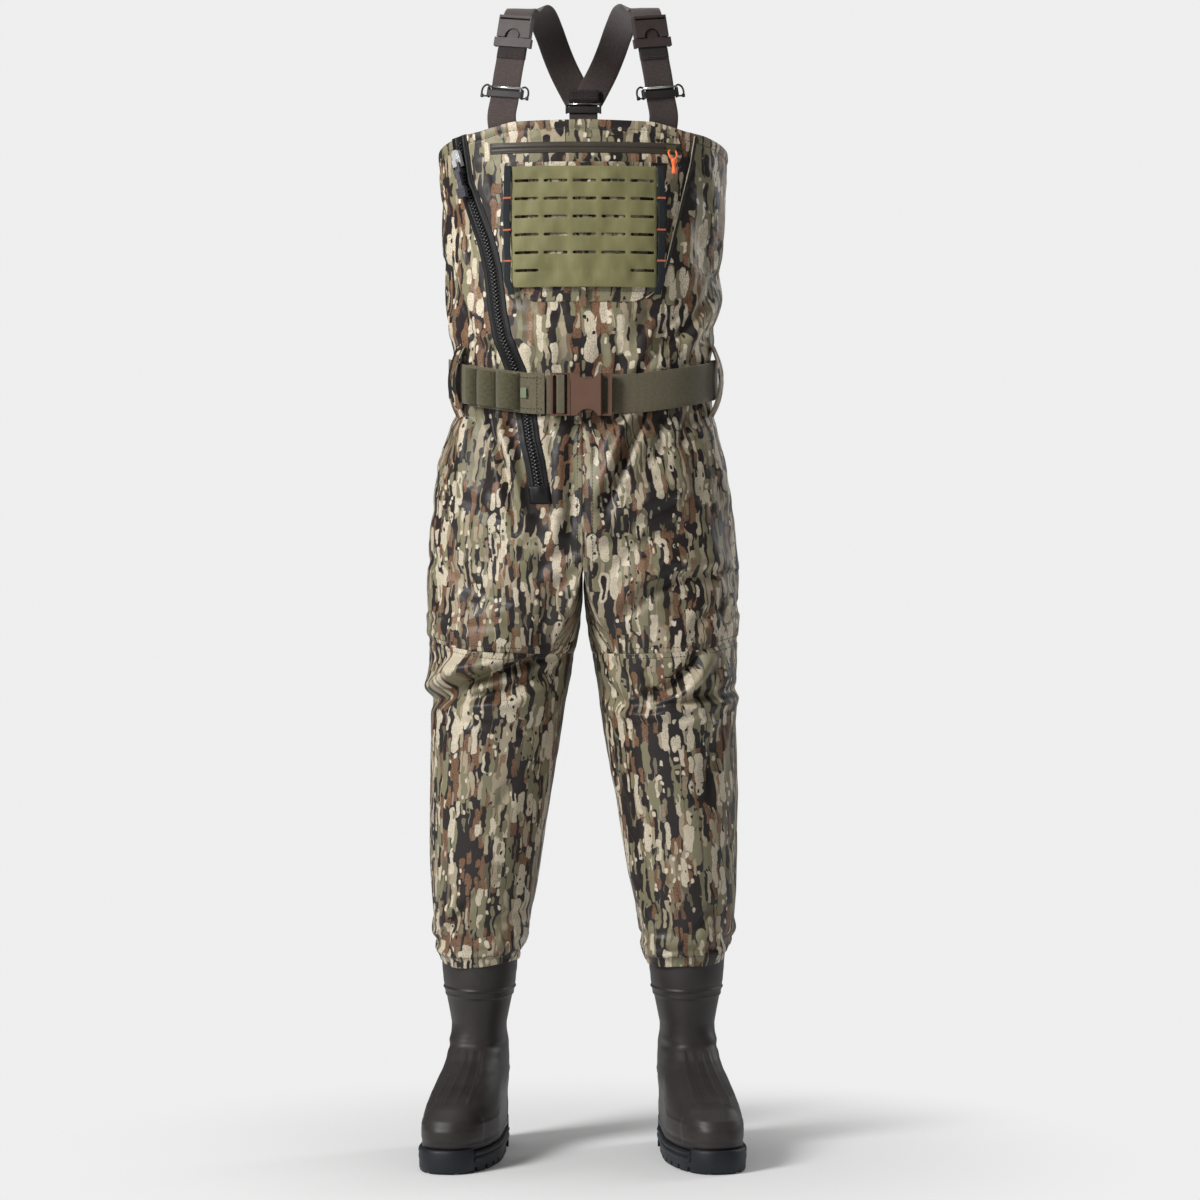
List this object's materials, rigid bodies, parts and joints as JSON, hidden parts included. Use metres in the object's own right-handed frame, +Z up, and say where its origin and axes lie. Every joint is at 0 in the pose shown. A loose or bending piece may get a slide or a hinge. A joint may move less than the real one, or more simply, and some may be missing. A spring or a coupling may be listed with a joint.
{
  "type": "chest waders",
  "caption": "Bootfoot chest waders with a padded bib, elastic suspenders, a wading belt with side-release buckle, two zips, a slotted chest panel and jointed rubber boots.",
  "frame": {"origin": "on the ground, midway between the two ankle joints", "axes": "+Z up; -Y is the front of the waders; +X is the wearer's left"},
  "size_m": [0.412, 0.304, 1.4893],
  "materials": {
    "camo_shell": null,
    "olive_laminate": "matte plain laminate",
    "black_webbing": "woven",
    "orange_thread": "woven",
    "pocket_zip_tape": "satin coated tape",
    "pocket_slider_metal": "satin",
    "orange_cord": "satin",
    "zip_tape": "satin",
    "zip_teeth": "satin",
    "zip_garage": "satin",
    "slider_metal": "polished",
    "pull_rubber": "matte",
    "belt_webbing": "woven",
    "belt_carrier": "woven",
    "elastic_loops": "woven elastic",
    "tag_fabric": "plain woven",
    "buckle_brown": "satin",
    "strap_webbing": "woven",
    "adjuster_black": "satin with bright bar",
    "clip_brown": "satin",
    "boot_rubber": "matte",
    "sole_rubber": "matte",
    "insole_fabric": "felt"
  },
  "bodies": {
    "garment": {"bib_front_panel": "camo_shell", "bib_side_panel_right": "camo_shell", "bib_back_panel": "camo_shell", "hip_front_right": "camo_shell", "hip_front_left": "camo_shell", "seat_panel_right": "camo_shell", "seat_panel_left": "camo_shell", "belt_loops": "camo_shell", "chest_pocket": "camo_shell", "molle_panel": "olive_laminate", "pocket_side_webbing": "black_webbing", "webbing_bartacks": "orange_thread", "pocket_zip_tape": "pocket_zip_tape", "main_zip_tape": "zip_tape", "main_zip_teeth": "zip_teeth", "main_zip_garage": "zip_garage", "belt_webbing": "belt_webbing", "belt_carrier": "belt_carrier", "belt_shell_loops": "elastic_loops", "belt_tag": "tag_fabric", "belt_buckle_socket": "buckle_brown", "front_strap_right": "strap_webbing", "front_strap_left": "strap_webbing", "clip_socket_right": "clip_brown", "clip_socket_left": "clip_brown", "back_strap_right": "strap_webbing", "back_strap_left": "strap_webbing", "strap_junction": "strap_webbing", "rear_strap": "strap_webbing", "crotch_panel_right": "camo_shell", "crotch_panel_left": "camo_shell"},
    "main_zip_slider": {"main_zip_slider": "slider_metal"},
    "main_zip_pull": {"main_zip_pull": "pull_rubber"},
    "pocket_zip_slider": {"pocket_zip_slider": "pocket_slider_metal"},
    "pocket_zip_cord": {"pocket_zip_cord": "orange_cord"},
    "belt_buckle_plug": {"belt_buckle_plug": "buckle_brown", "belt_end_loop": "belt_webbing"},
    "belt_latch_upper": {"belt_latch_upper": "buckle_brown"},
    "belt_latch_lower": {"belt_latch_lower": "buckle_brown"},
    "strap_adjuster_right": {"strap_adjuster_right": "adjuster_black"},
    "strap_adjuster_left": {"strap_adjuster_left": "adjuster_black"},
    "clip_plug_right": {"clip_plug_right": "clip_brown"},
    "clip_plug_left": {"clip_plug_left": "clip_brown"},
    "rear_adjuster": {"rear_adjuster": "adjuster_black"},
    "thigh_right": {"thigh_panel_right": "camo_shell", "knee_panel_right": "camo_shell"},
    "thigh_left": {"thigh_panel_left": "camo_shell", "knee_panel_left": "camo_shell"},
    "shin_right": {"shin_panel_right": "camo_shell", "boot_shaft_right": "boot_rubber", "boot_ankle_right": "boot_rubber"},
    "shin_left": {"shin_panel_left": "camo_shell", "boot_shaft_left": "boot_rubber", "boot_ankle_left": "boot_rubber"},
    "foot_right": {"boot_foot_right": "boot_rubber", "outsole_right": "sole_rubber", "insole_right": "insole_fabric"},
    "foot_left": {"boot_foot_left": "boot_rubber", "outsole_left": "sole_rubber", "insole_left": "insole_fabric"}
  },
  "joints": [
    {"name": "main_zip_slide", "type": "slide", "parent": "garment", "child": "main_zip_slider", "axis": [0.2281, -0.0952, -0.969], "range_m": [0, 0.221]},
    {"name": "main_zip_pull_swing", "type": "hinge", "parent": "main_zip_slider", "child": "main_zip_pull", "pos_m": [-0.16191, -0.08707, 1.27214], "axis": [-0.7127, 0.6617, -0.2328], "range_deg": [0, 110]},
    {"name": "pocket_zip_slide", "type": "hinge", "parent": "garment", "child": "pocket_zip_slider", "pos_m": [0, 0.20892, 1.2895], "axis": [0, 0, -1], "range_deg": [0, 37]},
    {"name": "pocket_cord_swing", "type": "hinge", "parent": "pocket_zip_slider", "child": "pocket_zip_cord", "pos_m": [0.11353, -0.11364, 1.2861], "axis": [-0.9433, -0.332, 0], "range_deg": [0, 90]},
    {"name": "belt_buckle_release", "type": "slide", "parent": "garment", "child": "belt_buckle_plug", "axis": [-1, 0, 0], "range_m": [0, 0.03]},
    {"name": "latch_upper_press", "type": "hinge", "parent": "belt_buckle_plug", "child": "belt_latch_upper", "pos_m": [-0.0124, -0.1237, 0.991], "axis": [0, 1, 0], "range_deg": [0, 8], "stiffness_Nm_per_rad": 0.3},
    {"name": "latch_lower_press", "type": "hinge", "parent": "belt_buckle_plug", "child": "belt_latch_lower", "pos_m": [-0.0124, -0.1237, 0.963], "axis": [0, -1, 0], "range_deg": [0, 8], "stiffness_Nm_per_rad": 0.3},
    {"name": "strap_adjust_right", "type": "slide", "parent": "garment", "child": "strap_adjuster_right", "axis": [0.1517, 0.0664, 0.9862], "range_m": [-0.014, 0.03]},
    {"name": "strap_adjust_left", "type": "slide", "parent": "garment", "child": "strap_adjuster_left", "axis": [-0.1517, 0.0664, 0.9862], "range_m": [-0.014, 0.03]},
    {"name": "shoulder_clip_release_right", "type": "slide", "parent": "garment", "child": "clip_plug_right", "axis": [-0.1517, -0.0664, -0.9862], "range_m": [0, 0.016]},
    {"name": "shoulder_clip_release_left", "type": "slide", "parent": "garment", "child": "clip_plug_left", "axis": [0.1517, -0.0664, -0.9862], "range_m": [0, 0.016]},
    {"name": "rear_strap_adjust", "type": "slide", "parent": "garment", "child": "rear_adjuster", "axis": [0, 0, -1], "range_m": [0, 0.04]},
    {"name": "hip_right", "type": "hinge", "parent": "garment", "child": "thigh_right", "pos_m": [-0.104, 0.002, 0.812], "axis": [-1, 0, 0], "range_deg": [-10, 35], "deforming": ["crotch_panel_right"]},
    {"name": "hip_left", "type": "hinge", "parent": "garment", "child": "thigh_left", "pos_m": [0.104, 0.002, 0.812], "axis": [-1, 0, 0], "range_deg": [-10, 35], "deforming": ["crotch_panel_left"]},
    {"name": "knee_right", "type": "hinge", "parent": "thigh_right", "child": "shin_right", "pos_m": [-0.113, 0.008, 0.568], "axis": [1, 0, 0], "range_deg": [0, 50], "deforming": ["knee_panel_right"]},
    {"name": "knee_left", "type": "hinge", "parent": "thigh_left", "child": "shin_left", "pos_m": [0.113, 0.008, 0.568], "axis": [1, 0, 0], "range_deg": [0, 50], "deforming": ["knee_panel_left"]},
    {"name": "ankle_right", "type": "hinge", "parent": "shin_right", "child": "foot_right", "pos_m": [-0.136, 0.032, 0.112], "axis": [0.9816, -0.1908, 0], "range_deg": [-12, 15], "deforming": ["boot_ankle_right"]},
    {"name": "ankle_left", "type": "hinge", "parent": "shin_left", "child": "foot_left", "pos_m": [0.136, 0.032, 0.112], "axis": [0.9816, 0.1908, 0], "range_deg": [-12, 15], "deforming": ["boot_ankle_left"]}
  ],
  "couplings": [
    {"joint": "latch_lower_press", "follows": "latch_upper_press", "ratio": 1}
  ]
}
